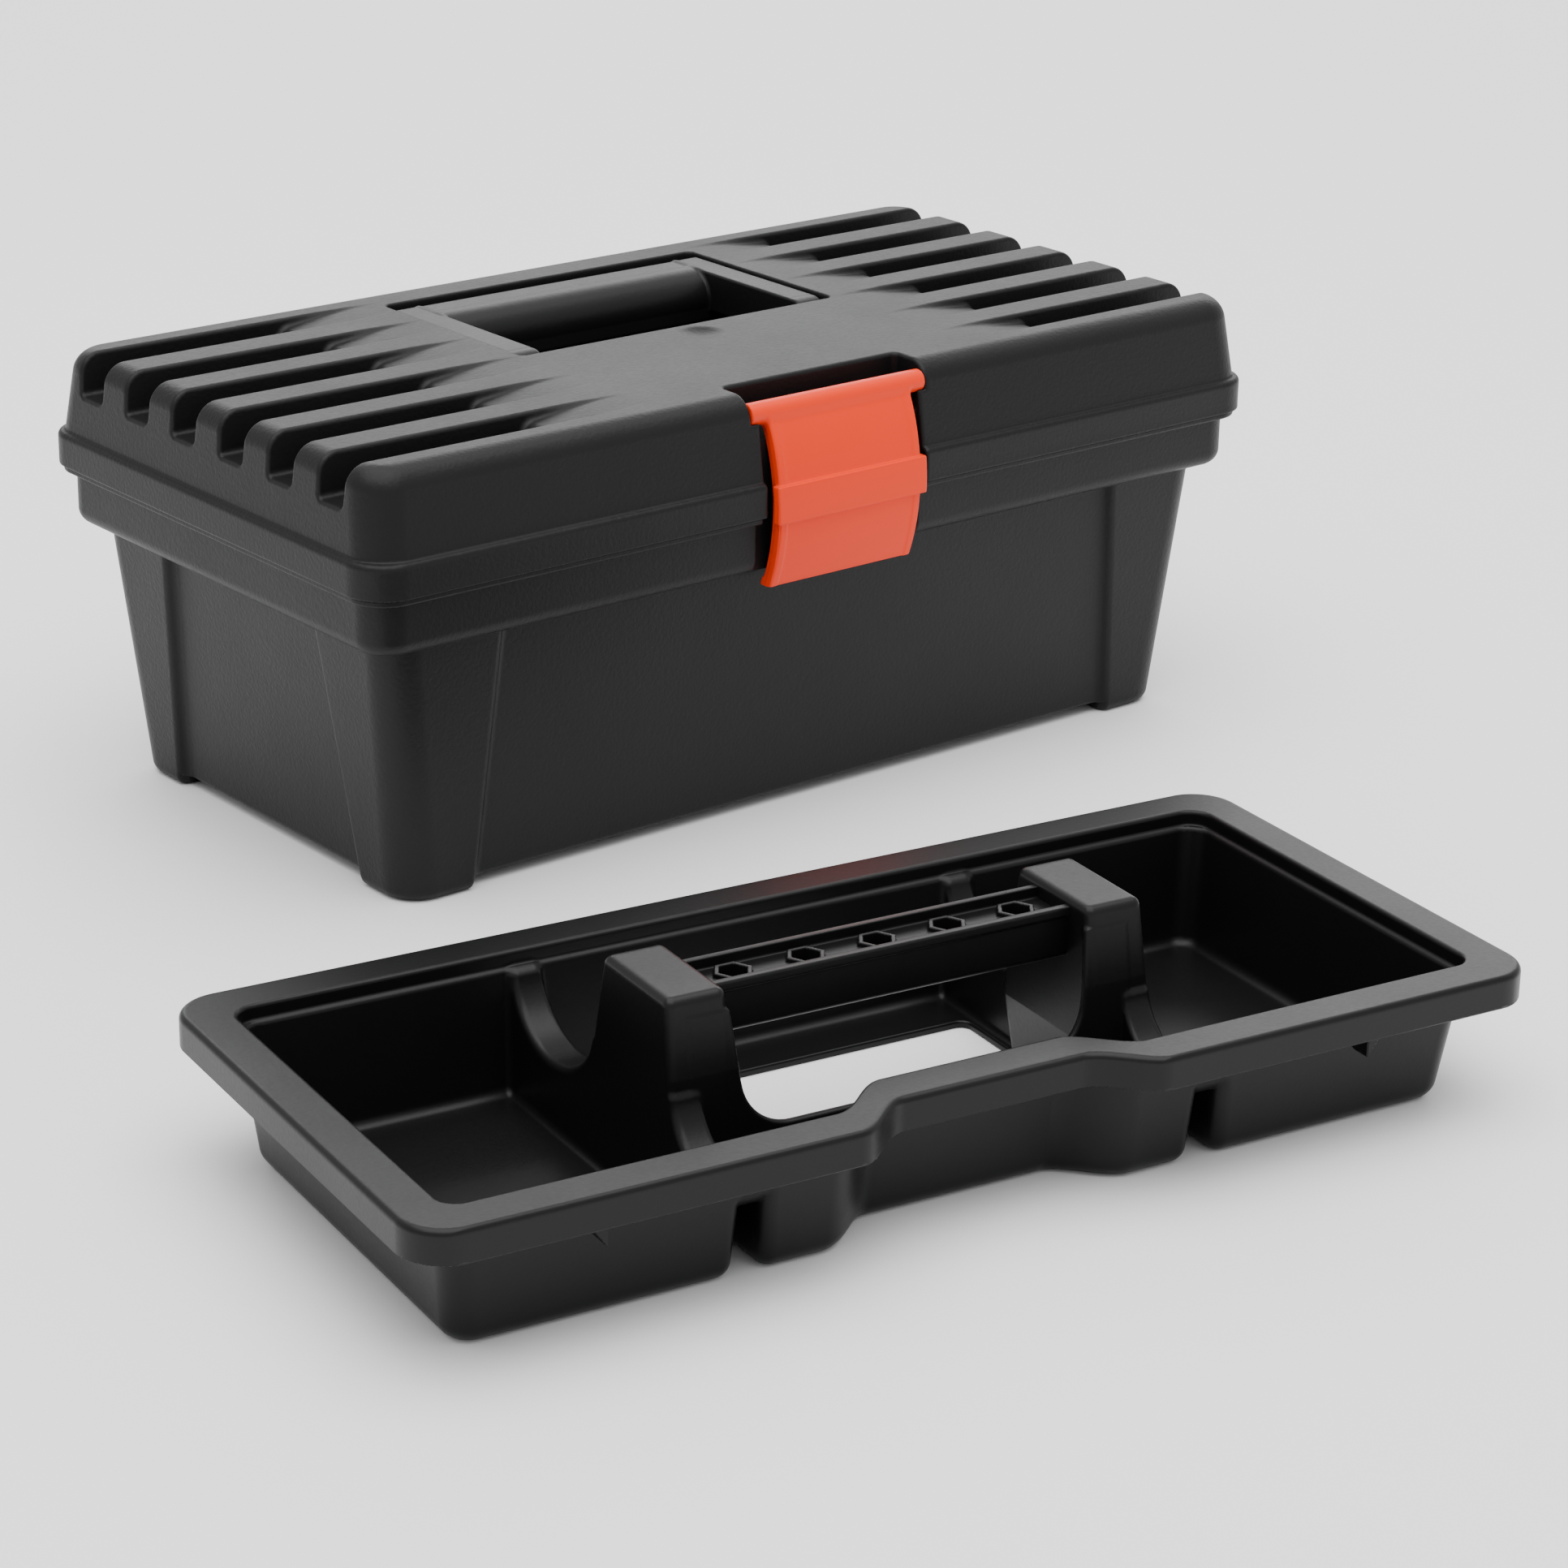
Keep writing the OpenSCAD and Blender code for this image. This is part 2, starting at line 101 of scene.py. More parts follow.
# ---- tub
BAND_Z = 76.0
BODY, FLARE = (141.0, 68.5), (8.0, 5.0)  # the body at the floor, and what it gains up to the band
BODY_R = 11
PANEL, PANEL_TAPER = (116.5, 45.0), (6.5, 9.0)  # the sunk panels at the floor and what they lose
PANEL_DEPTH, PANEL_RISER = 2.5, 0.8
FOOT_IN, FOOT_H = (128, 56), 3.0  # where a foot starts along X and along Y
BAND_BACK, FLANGE_BACK = (4.0, 4.2), 1.3  # how far they stand back from the skirt
LATCH_CUT = (29.3, -77)
BRACKET_X, BRACKET_HALF = 20, 5


def tub_body(x, y, z):
    """The tapered body with a sunk panel in each side and a foot under each corner."""
    ax, ay = np.abs(x), np.abs(y)
    t = z / BAND_Z
    hx, hy = BODY[0] + FLARE[0] * t, BODY[1] + FLARE[1] * t
    seam_x, seam_y = PANEL[0] - PANEL_TAPER[0] * t, PANEL[1] - PANEL_TAPER[1] * t
    steep = 1 / math.hypot(1, PANEL_RISER)
    riser_x = (ax - seam_x - PANEL_RISER * (ay - hy + PANEL_DEPTH)) * steep
    riser_y = (ay - seam_y - PANEL_RISER * (ax - hx + PANEL_DEPTH)) * steep
    body = rect(x, y, hx, hy, BODY_R)
    body = remove(body, cut(hy - PANEL_DEPTH - ay, riser_x, 1.0), 0.9)
    body = remove(body, cut(hx - PANEL_DEPTH - ax, riser_y, 1.0), 0.9)
    body = cut(body, -z, 3.2)
    under = np.minimum(
        np.maximum(np.maximum(z - FOOT_H, ax - seam_x - 1), FOOT_IN[1] - ay),
        np.maximum(np.maximum(z - FOOT_H, ay - seam_y - 1), FOOT_IN[0] - ax),
    )
    return remove(body, under, 1.6)


def tub_outside(x, y, z):
    band = cut(rect(x, y, HALF_L - BAND_BACK[0], HALF_W - BAND_BACK[1], 10), BAND_Z - z, 4.5)
    flange = rect(x, y, HALF_L - FLANGE_BACK, HALF_W - FLANGE_BACK, SKIRT_R - FLANGE_BACK)
    flange = cut(flange, PARTING - 2 - z, 0.6)
    solid = join(join(tub_body(x, y, z), band, 0.8), flange, 0.6)
    behind_latch = cut(np.abs(x) - LATCH_CUT[0], y - LATCH_CUT[1], 1.0)
    return remove(solid, behind_latch, 0.9)


def knuckles(x, y, z, offset, half):
    """The round part of the knuckles at both sides of each hinge's middle, and their ends."""
    along = np.abs(np.abs(np.abs(x) - HINGE_X) - offset) - half
    return cut(hypot(y - HINGE_Y, z - HINGE_Z) - KNUCKLE_R, along, EDGE), along


def pin_hole(y, z):
    """The hole for the hinge pins, right through."""
    return hypot(y - HINGE_Y, z - HINGE_Z) - PIN_HOLE_R


def tub(x, y, z):
    walls = cut(shell(tub_outside(x, y, z), WALL), z - PARTING, EDGE)
    # each bracket is a knuckle on a web that slopes down to the wall
    round_part, along = knuckles(x, y, z, BRACKET_X, BRACKET_HALF)
    slope = (y - HALF_W) * 0.79 - (z - 82) * 0.61
    web = np.maximum(np.maximum(78.5 - y, slope), np.maximum(y - HINGE_Y - KNUCKLE_R, z - HINGE_Z))
    under_skirt = np.maximum(y - HALF_W - 0.5, PARTING - 0.2 - z)
    web = np.maximum(web, -under_skirt)
    bracket = join(round_part, cut(web, along, EDGE), 0.3)
    return remove(join(walls, bracket, 0.4), pin_hole(y, z), 0.1)


# ---- lid
LID_BODY, LID_DRAFT = (158.2, 81.4), (2.2, 3.9)  # above the skirt, and what it loses up to the top
RIB_PITCH = 24.0
GROOVE_FLOOR = BOX_H - 12
GROOVE_HALF = 5.5
# a groove's inner end steps up at the knee and then slopes up to the tip
TIP_X, KNEE_X, KNEE_Z = 65.0, 91.5, 124.2
POCKET_HALF, POCKET_FRONT, POCKET_BACK, POCKET_Z = 57.0, -6.6, 62.0, 108.5
DIMPLE_Y, DIMPLE_R, DIMPLE_DEPTH = -16, 16.8, 1.3
LATCH_RECESS, LATCH_GAP, RECESS_BACK = 31.5, 28.7, -65
ARM_HALF = 14.8  # half the lid's knuckle


def lid_grooves(x, y, z):
    """The six grooves between the ribs at each end."""
    ax = np.abs(x)
    middle = RIB_PITCH / 2 + RIB_PITCH * np.clip(np.round((y - RIB_PITCH / 2) / RIB_PITCH), -3, 2)
    sides = np.abs(y - middle) - (GROOVE_HALF + 0.06 * (z - GROOVE_FLOOR))
    slope = (BOX_H - KNEE_Z) / (KNEE_X - TIP_X)
    ramp = (BOX_H - slope * (ax - TIP_X) - z) / math.hypot(1, slope)
    floor = cut(GROOVE_FLOOR - z, join(KNEE_X - ax, ramp, 3.5), 4.0)
    return cut(sides, floor, 1.6)


def latch_recess(x, y, z):
    ax = np.abs(x)
    pin_space = cut(cut(ax - LATCH_RECESS, y - RECESS_BACK, 1.8), 119.5 - z, 0.6)
    deep = cut(cut(ax - LATCH_GAP, y - RECESS_BACK, 1.2), 114 - z, 1.0)
    front = cut(ax - LATCH_GAP, y + 77.5, 1.0)
    saddle = np.maximum(hypot(y - LATCH_Y, z - LATCH_Z) - LATCH_R - 0.15, ax - LATCH_RECESS)
    return np.minimum(np.minimum(pin_space, deep), np.minimum(front, saddle))


def handle_pocket(x, y, z):
    middle, half = (POCKET_BACK + POCKET_FRONT) / 2, (POCKET_BACK - POCKET_FRONT) / 2
    return cut(rect(x, y - middle, POCKET_HALF, half, 2.2), POCKET_Z - z, 2)


def dimple(x, y, z):
    """A shallow round hollow in the middle of the lid's top."""
    up = z - BOX_H - (DIMPLE_R - DIMPLE_DEPTH)
    return np.sqrt(x * x + (y - DIMPLE_Y) ** 2 + up**2) - DIMPLE_R


def lid_outside(x, y, z):
    t = (z - SKIRT_TOP) / (BOX_H - SKIRT_TOP)
    hx, hy = LID_BODY[0] - LID_DRAFT[0] * t, LID_BODY[1] - LID_DRAFT[1] * t
    body = cut(rect(x, y, hx, hy, BODY_R), z - BOX_H, 6.0)
    skirt = cut(rect(x, y, HALF_L, HALF_W, SKIRT_R), z - SKIRT_TOP, 1.7)
    solid = join(body, skirt, 0.7)
    solid = remove(solid, lid_grooves(x, y, z), 1.1)
    solid = remove(solid, handle_pocket(x, y, z), 0.7)
    solid = remove(solid, dimple(x, y, z), 0.3)
    return remove(solid, latch_recess(x, y, z), 1.1)


def lid(x, y, z):
    walls = cut(shell(lid_outside(x, y, z), WALL), PARTING - z, EDGE)
    round_part, along = knuckles(x, y, z, 0, ARM_HALF)
    arm = cut(cut(np.abs(y - 85.2) - 3.4, np.abs(z - 98.8) - 3.6, 0.6), along, EDGE)
    solid = join(walls, join(round_part, arm, EDGE), EDGE)
    solid = remove(solid, pin_hole(y, z), 0.1)
    peg_holes = np.maximum(hypot(y - PEG_Y, z - PEG_Z) - PEG_R - 0.1, np.abs(np.abs(x) - 58) - 2.5)
    return remove(solid, peg_holes, 0.1)


# ---- latch, a plate bowed about an axis along X, with its pin at the top
BOW_R, BOW_Z, BOW_OUT = 60.0, 94.0, HALF_W + 1.2
LATCH_HALF = 25.5
LATCH_T, LATCH_END_T = 2.4, 3.8
LATCH_BOTTOM = 72
BARREL_HALF = 31.2


def latch(x, y, z):
    ax = np.abs(x)
    # the depth under the plate's outer face
    deep = BOW_R - hypot(y + BOW_OUT - BOW_R, z - BOW_Z)
    plate = cut(cut(-deep, deep - LATCH_T, 0.5), ax - LATCH_HALF, 0.6)
    ends = cut(cut(-deep, deep - LATCH_END_T, 0.6), np.abs(ax - LATCH_HALF + 1.2) - 1.2, 0.5)
    plate = join(plate, ends, 0.6)
    plate = cut(cut(plate, z - LATCH_Z - 1.5, 0.4), LATCH_BOTTOM - z, 0.5)
    lip = cut(np.abs(deep - 2.7) - 1.6, np.abs(z - LATCH_BOTTOM - 1.2) - 1.2, 0.5)
    plate = join(plate, cut(lip, ax - LATCH_HALF, 0.5), 0.8)
    # a raised band across the plate, a little wider than it
    band = cut(cut(-deep - 1.3, deep - 1.5, 0.35), np.abs(z - 96.9) - 5.4, 0.45)
    band = cut(band, ax - LATCH_HALF - 1.5, 0.5)
    plate = join(plate, band, 0.35)
    barrel = cut(hypot(y - LATCH_Y, z - LATCH_Z) - LATCH_R, ax - BARREL_HALF, 0.4)
    return join(plate, barrel, 1.6)


# ---- handle
ARM_X, ARM_R = 51.7, 6.0
HANDLE_BACK = 59.0
GRIP_Y, GRIP_Z, GRIP_R = 48.0, 117.9, 8.5


def handle(x, y, z):
    ax = np.abs(x)
    reach = np.abs(y - (PEG_Y + HANDLE_BACK) / 2) - (HANDLE_BACK - PEG_Y) / 2
    pivot = hypot(y - PEG_Y, z - PEG_Z) - ARM_R
    arms = join(pivot, cut(reach, np.abs(z - PEG_Z) - ARM_R, 2.0), 0.2)
    arms = cut(arms, np.abs(ax - ARM_X) - 4.5, 0.7)
    # the grip is a roll with a flat back and a skirt below
    roll = hypot(y - GRIP_Y, z - GRIP_Z) - GRIP_R
    skirt = cut(np.abs(y - GRIP_Y) - GRIP_R + 0.3, np.abs(z - 114.6) - 3.4, 1.0)
    back = cut(np.abs(y - 53.5) - 5.5, np.abs(z - 119) - 7.2, 1.5)
    grip = cut(np.minimum(join(roll, back, 0.6), skirt), ax - 48.0, 0.4)
    pegs = cut(hypot(y - PEG_Y, z - PEG_Z) - PEG_R, ax - 59.0, 0.3)
    return np.minimum(join(arms, grip, 1.2), np.maximum(pegs, 50 - ax))


# ---- tray, about its own middle
TRAY_PLACE = (-130.0, -245.0)
TRAY_TURN = math.radians(-9)
TRAY_L, TRAY_W, TRAY_H = 150.0, 69.0, 37.5
TRAY_WALL = 2.0
RIM_W = 12.5
LIP = 8.5
NOTCH, NOTCH_IN, NOTCH_OUT = 11.0, 24.0, 42.0
DIVIDER_IN, DIVIDER_TOP = 58.0, 33.0
SCOOPS, SCOOP_Z, SCOOP_SIZE = (-45.0, 34.0), 36, (20.5, 17.5)  # middles, then half axes
POST_IN, POST_OUT, POST_Y, POST_TOP = 49.2, 65.0, -5.5, 55.0
STEP_Z = 33.5  # the inside is a little wider above this
DIP_X, DIP_Z, DIP_R = 46.9, 20.5, 13
HOLE, HOLE_Y = (54.0, 32.3), 5.2
GUSSET_X = 104
RAIL_HALF, RAIL_Z = 7.3, (39.5, 53.0)
SOCKET_PITCH, SOCKET_FLATS = 19.5, 6.5


def front_edge(x):
    """The front edge of the rim, which steps back in the middle, and how steep it is there."""
    t = (NOTCH_OUT - np.abs(x)) / (NOTCH_OUT - NOTCH_IN)
    u = np.clip(t, 0, 1)
    slope = NOTCH * 6 * u * (1 - u) / (NOTCH_OUT - NOTCH_IN)
    return -TRAY_W + NOTCH * smooth_step(t), 1 / np.sqrt(1 + slope * slope)


def tray_outline(x, y):
    edge, ease = front_edge(x)
    return cut(rect(x, y, TRAY_L, TRAY_W, 12), (edge - y) * ease, 1.0)


def tray_hollow(x, y, z, inset, floor):
    """The space inside the tray's walls, before its dividers and posts."""
    edge, ease = front_edge(x)
    front = (edge + RIM_W + inset - y) * ease
    sides = cut(np.abs(x) - TRAY_L + RIM_W + inset, y - TRAY_W + RIM_W + inset, 6)
    return cut(cut(sides, front, 5), floor - z, 2.5 if floor == TRAY_WALL else 0.6)


def post_half(z):
    """Half a post along Y, which tapers more above the rim than below it."""
    return np.minimum(15.3 + 0.168 * (POST_TOP - z), 18.5 + 0.1 * (36 - z))


def dividers(x, y, z):
    """The two ridges between the wells and the middle, each scooped out beside its post."""
    ax = np.abs(x)
    ridge = cut(DIVIDER_IN - 0.045 * (DIVIDER_TOP - z) - ax, z - DIVIDER_TOP, 1.6)
    for middle in SCOOPS:
        scoop = hypot((y - middle) / SCOOP_SIZE[0], (z - SCOOP_Z) / SCOOP_SIZE[1])
        ridge = remove(ridge, (scoop - 1) * 18, 1.2)
    inner = POST_IN + 0.24 * np.maximum(20 - z, 0) - ax
    post = cut(cut(inner, np.abs(y - POST_Y) - post_half(z), 2.2), z - POST_TOP, 2.0)
    outer = ax - POST_OUT - 0.045 * (POST_TOP - z)
    # both end inside the tray's own walls
    return np.maximum(cut(outer, join(ridge, post, 1.0), 2.0), np.abs(y) - TRAY_W + RIM_W / 2)


def arch(x, y, z):
    """The thin wall before the bit rail, which dips between the posts."""
    wall = np.abs(y - POST_Y + post_half(z) - TRAY_WALL / 2) - TRAY_WALL / 2
    dip = cut(np.abs(x) - DIP_X - 0.1 * np.maximum(z - 32, 0), DIP_Z - z, DIP_R)
    return remove(cut(wall, np.maximum(np.abs(x) - 60, z - 50), 0.5), dip, 0.9)


def tray_top(x, y, z):
    """Everything below the tray's upper surface, however deep."""
    draft = 4.5 * np.clip(1 - z / TRAY_H, 0, 1.1)
    solid = cut(tray_outline(x, y), z - TRAY_H, 1.7)
    solid = remove(solid, tray_hollow(x, y, z, draft, TRAY_WALL), 1.0)
    solid = remove(solid, tray_hollow(x, y, z, -0.6, STEP_Z), 1.0)
    # the hole under the bit rail, behind the thin wall
    hole = cut(np.abs(x) - HOLE[0], np.abs(y - HOLE_Y) - HOLE[1], 3)
    solid = remove(solid, hole, 0.6)
    return join(join(solid, dividers(x, y, z), 1.8), arch(x, y, z), 0.9)


def tray(x, y, z):
    ax = np.abs(x)
    solid = shell(tray_top(x, y, z), TRAY_WALL)
    solid = np.maximum(solid, np.minimum(TRAY_H - LIP - z, tray_outline(x, y) + 4))
    # gussets between the lip and the wells' front walls
    gusset = np.maximum(np.abs(ax - GUSSET_X) - 1.6, np.abs(y + 60.2) - 3.4)
    gusset = np.maximum(gusset, np.maximum(z - 31, 21.5 + 1.4 * (ax - GUSSET_X + 1.6) - z))
    return cut(np.minimum(solid, gusset), -z, 0.6)


def rail(x, y, z):
    """The bit rail between the tray's posts, with its hexagonal sockets."""
    ay, ends = np.abs(y - POST_Y), np.abs(x) - POST_IN - 1.2
    low, high = RAIL_Z
    bar = np.abs(z - (low + high) / 2) - (high - low) / 2
    bar = cut(cut(ay - RAIL_HALF, bar, 1.6), ends, 0.2)
    lip = cut(cut(ay - RAIL_HALF - 0.7, np.abs(z - high + 1.3) - 1.3, 0.4), ends, 0.2)
    bar = join(bar, lip, 0.4)
    bar = remove(bar, cut(ay - 6, 50.2 - z, 0.6), 0.4)
    u = x - SOCKET_PITCH * np.clip(np.round(x / SOCKET_PITCH), -2, 2)
    hexagon = np.maximum(ay, np.abs(u) * 0.866 + ay * 0.5) - SOCKET_FLATS / 2
    bar = join(bar, cut(hexagon - 1.2, np.abs(z - 47.3) - 4.3, 0.3), 0.4)
    return remove(bar, np.maximum(hexagon, 42.2 - z), 0.25)


# ---------------------------------------------------------------- meshing


def grid_line(lo, hi, coarse, fine, spans):
    """Grid positions from lo to hi: fine inside the spans, growing to coarse away from them."""
    points = [lo]
    while points[-1] < hi:
        here = points[-1]
        away = min((max(a - here, here - b, 0.0) for a, b in spans), default=1e9)
        points.append(here + min(coarse, fine + 0.4 * away))
    return np.array(points)


def both(*spans):
    """The spans and their mirror images about 0."""
    return list(spans) + [(-b, -a) for a, b in spans]


def gradient(solid, v):
    """How the distance changes along X, Y and Z at each point."""
    e = 0.03
    x, y, z = v[:, 0], v[:, 1], v[:, 2]
    return np.stack(
        [
            solid(x + e, y, z) - solid(x - e, y, z),
            solid(x, y + e, z) - solid(x, y - e, z),
            solid(x, y, z + e) - solid(x, y, z - e),
        ],
        axis=1,
    ) / (2 * e)


def settle(solid, v, steps, most):
    """Moves points onto the solid's surface, each step by at most so many millimetres."""
    for _ in range(steps):
        g = gradient(solid, v)
        d = solid(v[:, 0], v[:, 1], v[:, 2])
        move = g * (d / np.maximum((g * g).sum(1), 0.1))[:, None]
        size = np.sqrt((move * move).sum(1))
        v = v - move * np.minimum(1, most / np.maximum(size, 1e-9))[:, None]
    return v


def surface(solid, xs, ys, zs):
    """Points and quads on the solid's surface, by surface nets on an uneven grid."""
    d = solid(xs[:, None, None], ys[None, :, None], zs[None, None, :])
    d = np.broadcast_to(d, (len(xs), len(ys), len(zs))).astype(np.float32)
    inside = d < 0
    lines = (xs, ys, zs)
    shape = np.array(d.shape)
    strides = np.array([shape[1] * shape[2], shape[2], 1])
    cells, places, quads = [], [], []
    for a in range(3):
        lower = [slice(None)] * 3
        upper = [slice(None)] * 3
        lower[a], upper[a] = slice(None, -1), slice(1, None)
        crossing = np.argwhere(inside[tuple(lower)] != inside[tuple(upper)])
        ahead = crossing.copy()
        ahead[:, a] += 1
        d0 = d[tuple(crossing.T)]
        d1 = d[tuple(ahead.T)]
        t = d0 / (d0 - d1)
        p = np.stack([lines[k][crossing[:, k]] for k in range(3)], axis=1)
        p[:, a] += t * (lines[a][ahead[:, a]] - lines[a][crossing[:, a]])
        b, c = (a + 1) % 3, (a + 2) % 3
        corner = crossing @ strides
        ring = [corner - strides[b] - strides[c], corner - strides[c], corner, corner - strides[b]]
        for cell in ring:
            cells.append(cell)
            places.append(p)
        quad = np.stack(ring, axis=1)
        flip = d0 > 0
        quad[flip] = quad[flip][:, ::-1]
        quads.append(quad)
    cells = np.concatenate(cells)
    places = np.concatenate(places)
    quads = np.concatenate(quads)
    used, index = np.unique(cells, return_inverse=True)
    count = np.bincount(index)
    v = np.stack([np.bincount(index, places[:, k]) / count for k in range(3)], axis=1)
    return v, np.searchsorted(used, quads)


def mesh_of(name, v, quads):
    """A mesh in metres of points in millimetres."""
    mesh = bpy.data.meshes.new(name)
    mesh.vertices.add(len(v))
    mesh.vertices.foreach_set("co", (v * MM).astype(np.float32).ravel())
    mesh.loops.add(quads.size)
    mesh.loops.foreach_set("vertex_index", quads.astype(np.int32).ravel())
    mesh.polygons.add(len(quads))
    mesh.polygons.foreach_set("loop_start", np.arange(0, quads.size, 4, dtype=np.int32))
    mesh.update(calc_edges=True)
    mesh.validate()
    return mesh


def moulding(name, solid, xs, ys, zs, keep, fine):
    """A mesh of the solid, thinned out where it is flat, with its true normals."""
    v, quads = surface(solid, xs, ys, zs)
    v = settle(solid, v, 3, 0.5 * fine)
    obj = bpy.data.objects.new(name, mesh_of(name, v, quads))
    bpy.context.scene.collection.objects.link(obj)
    thin = obj.modifiers.new("thin", "DECIMATE")
    thin.ratio = keep
    graph = bpy.context.evaluated_depsgraph_get()
    mesh = bpy.data.meshes.new_from_object(obj.evaluated_get(graph))
    obj.modifiers.clear()
    obj.data = mesh
    mesh.name = name
    v = np.empty(len(mesh.vertices) * 3)
    mesh.vertices.foreach_get("co", v)
    v = settle(solid, v.reshape(-1, 3) / MM, 2, 0.1)
    normals = gradient(solid, v)
    normals /= np.maximum(np.linalg.norm(normals, axis=1), 1e-9)[:, None]
    mesh.vertices.foreach_set("co", (v * MM).ravel())
    mesh.polygons.foreach_set("use_smooth", np.ones(len(mesh.polygons), dtype=bool))
    mesh.update()
    mesh.normals_split_custom_set_from_vertices(normals.tolist())
    print(name, "points", len(v), "faces", len(mesh.polygons))
    return obj


FINE = 0.6
COARSE = 5.0


def build(name, solid, spans_x, spans_y, spans_z, ends, keep, fine=FINE, coarse=COARSE):
    """Meshes a solid that lies within ends, on a grid that is fine in the spans where its shape
    turns, and keeps that share of the faces."""
    pad = 1.5
    xs = grid_line(ends[0][0] - pad, ends[0][1] + pad, coarse, fine, spans_x)
    ys = grid_line(ends[1][0] - pad, ends[1][1] + pad, coarse, fine, spans_y)
    zs = grid_line(ends[2][0] - pad, ends[2][1] + pad, coarse, fine, spans_z)
    return moulding(name, solid, xs, ys, zs, keep, fine)


tub_piece = build(
    "tub_moulding",
    tub,
    both((27, 32), (58.5, 61.5), (68.5, 71.5), (98.5, 121), (134, 162)),
    both((60, 95), (30, 48)),
    [(-2, 7), (73, 105)],
    ((-160, 160), (-84, 93), (0, 103)),
    0.22,
)
# round the sides of the lid's grooves, about half a rib pitch apart
GROOVE_SIDES = [(side - 2.6, side + 2.6) for side in range(-54, 60, 12)]
lid_piece = build(
    "lid_moulding",
    lid,
    both((0, 7.5), (25, 35), (53.5, 60.5), (86, 97), (143, 162), (69, 72), (98, 101)),
    [(-86, -58), (-23.5, -8.5), (-9, -3), (59, 95)] + GROOVE_SIDES,
    [(90, 130)],
    ((-160, 160), (-84, 93), (93, 128)),
    0.3,
)
tray_piece = build(
    "tray_moulding",
    tray,
    both((22, 76), (102, 106), (126, 152)),
    both((8, 72)),
    [(-2, 8), (15, 60)],
    ((-150, 150), (-69, 69), (0, 55)),
    0.3,
)
rail_piece = build(
    "tray_rail",
    rail,
    [(-50, 50)],
    [(-15, 4)],
    [(38, 54)],
    ((-50, 50), (-14, 3), (39, 53)),
    0.35,
    0.5 * FINE + 0.1,
)
latch_piece = build(
    "latch_moulding",
    latch,
    both((22, 33)),
    [(-90, -70)],
    [(70, 127)],
    ((-32, 32), (-87, -71), (71, 126)),
    0.35,
    0.75 * FINE,
    3,
)
handle_piece = build(
    "handle_moulding",
    handle,
    both((44, 61)),
    [(-7, 61)],
    [(108, 128)],
    ((-60, 60), (-6, 60), (110, 127)),
    0.35,
    0.9 * FINE,
    3,
)

for piece in (tray_piece, rail_piece):
    middle = Matrix.Translation((TRAY_PLACE[0] * MM, TRAY_PLACE[1] * MM, 0))
    piece.matrix_world = middle @ Matrix.Rotation(TRAY_TURN, 4, "Z")

# ---------------------------------------------------------------- materials


def principled(name, colour, roughness, specular=0.5):
    mat = bpy.data.materials.new(name)
    mat.use_nodes = True
    shader = mat.node_tree.nodes["Principled BSDF"]
    shader.inputs["Base Color"].default_value = (*colour, 1)
    shader.inputs["Roughness"].default_value = roughness
    shader.inputs["Specular IOR Level"].default_value = specular
    return mat


def noise(tree, scale, detail, source):
    node = tree.nodes.new("ShaderNodeTexNoise")
    node.inputs["Scale"].default_value = scale
    node.inputs["Detail"].default_value = detail
    tree.links.new(source, node.inputs["Vector"])
    return node.outputs["Fac"]


def spread(tree, value, low, high):
    """A value from 0 to 1 spread from low to high."""
    node = tree.nodes.new("ShaderNodeMapRange")
    node.inputs["To Min"].default_value = low
    node.inputs["To Max"].default_value = high
    tree.links.new(value, node.inputs["Value"])
    return node.outputs["Result"]


def plastic(name, colour, pale, roughness, grain, specular):
    """Moulded plastic: a fine spark-eroded grain, soft cloudiness and slight changes of gloss."""
    mat = principled(name, colour, roughness, specular)
    tree = mat.node_tree
    shader = tree.nodes["Principled BSDF"]
    place = tree.nodes.new("ShaderNodeTexCoord").outputs["Object"]
    cloud = noise(tree, 14, 3, place)
    mix = tree.nodes.new("ShaderNodeMix")
    mix.data_type = "RGBA"
    mix.inputs[6].default_value = (*colour, 1)
    mix.inputs[7].default_value = (*pale, 1)
    tree.links.new(cloud, mix.inputs["Factor"])
    tree.links.new(mix.outputs[2], shader.inputs["Base Color"])
    speck = noise(tree, 900, 2, place)
    gloss = tree.nodes.new("ShaderNodeMath")
    gloss.operation = "ADD"
    tree.links.new(spread(tree, noise(tree, 35, 4, place), -0.04, 0.04), gloss.inputs[0])
    tree.links.new(spread(tree, speck, roughness - 0.05, roughness + 0.05), gloss.inputs[1])
    tree.links.new(gloss.outputs[0], shader.inputs["Roughness"])
    bump = tree.nodes.new("ShaderNodeBump")
    bump.inputs["Strength"].default_value = grain
    bump.inputs["Distance"].default_value = 0.0002
    tree.links.new(speck, bump.inputs["Height"])
    tree.links.new(bump.outputs["Normal"], shader.inputs["Normal"])
    return mat


box_plastic = plastic(
    "box_plastic", (0.005, 0.005, 0.0055), (0.008, 0.0078, 0.0085),
    roughness=0.44, grain=0.5, specular=0.2,
)
handle_plastic = plastic(
    "handle_plastic", (0.004, 0.004, 0.0045), (0.007, 0.007, 0.0075),
    roughness=0.4, grain=0.25, specular=0.22,
)
tray_plastic = plastic(
    "tray_plastic", (0.003, 0.003, 0.0034), (0.005, 0.0049, 0.0054),
    roughness=0.36, grain=0.12, specular=0.22,
)
latch_plastic = plastic(
    "latch_plastic", (0.84, 0.03, 0.0005), (0.88, 0.038, 0.001),
    roughness=0.36, grain=0.10, specular=0.2,
)


